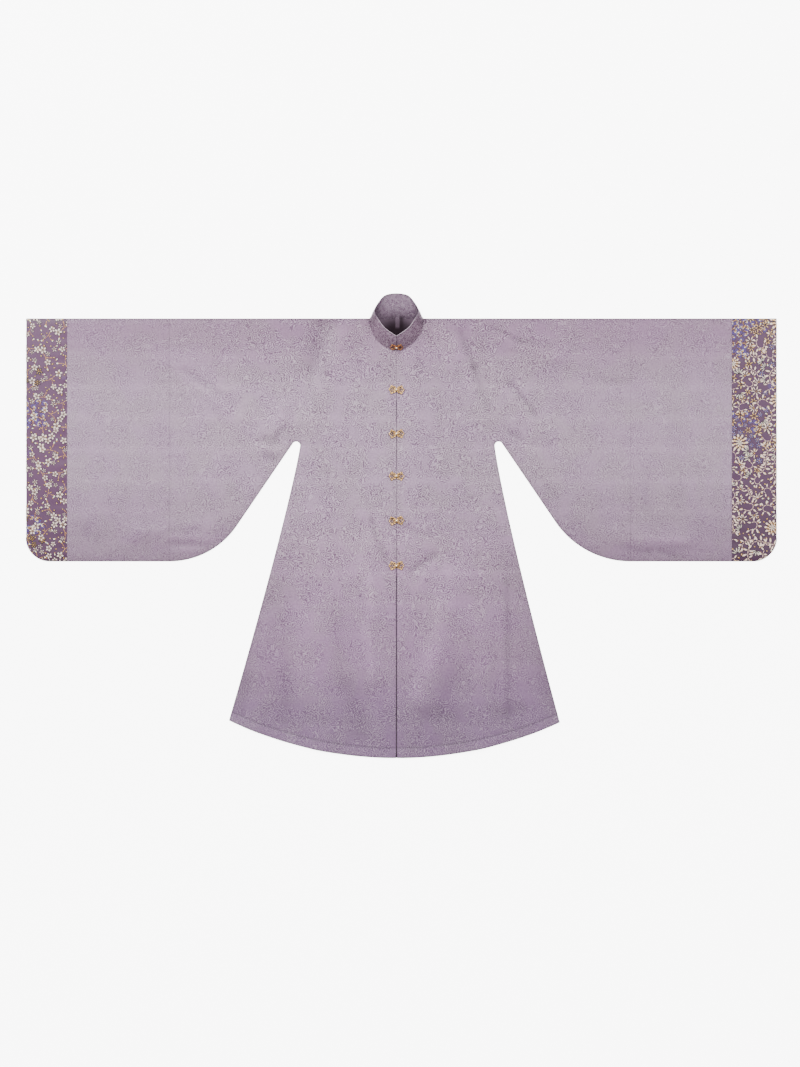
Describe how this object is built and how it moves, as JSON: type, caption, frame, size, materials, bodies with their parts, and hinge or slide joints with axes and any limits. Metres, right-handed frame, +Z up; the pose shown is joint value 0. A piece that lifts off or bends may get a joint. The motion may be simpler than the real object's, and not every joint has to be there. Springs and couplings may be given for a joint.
{
  "type": "standing-collar long coat with wide sleeves, laid flat",
  "caption": "Long coat with a standing collar, a clasped centre-front opening and very wide banded sleeves, laid flat with its front up.",
  "frame": {"origin": "on the surface that the coat lies on, under the middle of its box", "axes": "+X towards the wearer's left sleeve end, +Y from the hem towards the neck, +Z up from the surface through the back and then the front"},
  "size_m": [2, 1.2328, 0.0465],
  "materials": {
    "damask": "mauve-grey tone-on-tone satin damask",
    "brocade": "purple brocade with gold and cream flowers",
    "collar_cloth": "darker mauve damask",
    "gilt_metal": "gilt, polished",
    "copper_metal": "copper-coloured, polished"
  },
  "bodies": {
    "root": {"body_right": "damask", "body_left": "damask", "sleeve_right": "damask", "sleeve_left": "damask", "cuff_right": "brocade", "cuff_left": "brocade", "collar": "collar_cloth", "clasp_1_stud": "copper_metal", "clasp_1_socket": "copper_metal", "clasp_2_stud": "gilt_metal", "clasp_2_socket": "gilt_metal", "clasp_3_stud": "gilt_metal", "clasp_3_socket": "gilt_metal", "clasp_4_stud": "gilt_metal", "clasp_4_socket": "gilt_metal", "clasp_5_stud": "gilt_metal", "clasp_5_socket": "gilt_metal", "clasp_6_stud": "gilt_metal", "clasp_6_socket": "gilt_metal"}
  },
  "joints": []
}
